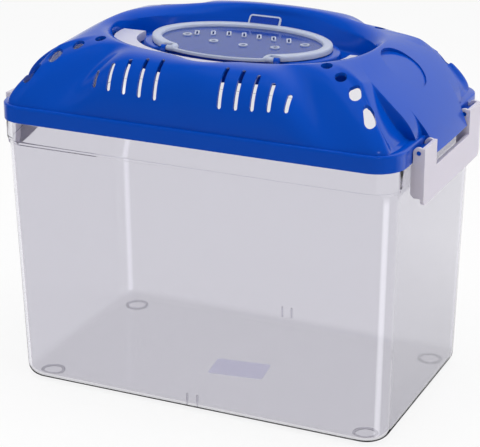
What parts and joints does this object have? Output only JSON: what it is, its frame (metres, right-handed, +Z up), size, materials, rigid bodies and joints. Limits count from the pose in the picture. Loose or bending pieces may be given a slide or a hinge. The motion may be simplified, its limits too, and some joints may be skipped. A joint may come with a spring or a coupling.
{
  "type": "plastic pet keeper",
  "caption": "Clear tapered tank with a domed vented lid, a feeding hatch, a fold-down carrying handle and a swinging latch at each end.",
  "frame": {"origin": "middle of the rectangle that bounds the keeper in plan, on the surface its foot pads stand on", "axes": "+X along the keeper's length towards the right latch, +Y from the front to the back where the hatch's tab is, +Z up"},
  "size_m": [0.3174, 0.1836, 0.2645],
  "materials": {
    "clear_tank": "clear gloss moulding",
    "blue_lid": "gloss moulding",
    "clear_hatch": "clear gloss moulding with a faint blue tint",
    "white_plastic": "satin moulding, cool white"
  },
  "bodies": {
    "tank": {"tank": "clear_tank"},
    "lid": {"lid": "blue_lid"},
    "hatch": {"hatch": "clear_hatch"},
    "handle": {"handle": "white_plastic"},
    "latch_left": {"latch_left": "white_plastic"},
    "latch_right": {"latch_right": "white_plastic"}
  },
  "joints": [
    {"name": "lid_lift", "type": "slide", "parent": "tank", "child": "lid", "axis": [0, 0, 1], "range_m": [0, 0.06]},
    {"name": "hatch_hinge", "type": "hinge", "parent": "lid", "child": "hatch", "pos_m": [0, -0.036, 0.2519], "axis": [1, 0, 0], "range_deg": [0, 100]},
    {"name": "handle_pivot", "type": "hinge", "parent": "lid", "child": "handle", "pos_m": [0, 0.006, 0.2468], "axis": [-1, 0, 0], "range_deg": [0, 95]},
    {"name": "latch_left_pivot", "type": "hinge", "parent": "lid", "child": "latch_left", "pos_m": [-0.1543, 0, 0.2083], "axis": [0, 1, 0], "range_deg": [0, 100]},
    {"name": "latch_right_pivot", "type": "hinge", "parent": "lid", "child": "latch_right", "pos_m": [0.1543, 0, 0.2083], "axis": [0, -1, 0], "range_deg": [0, 100]}
  ]
}
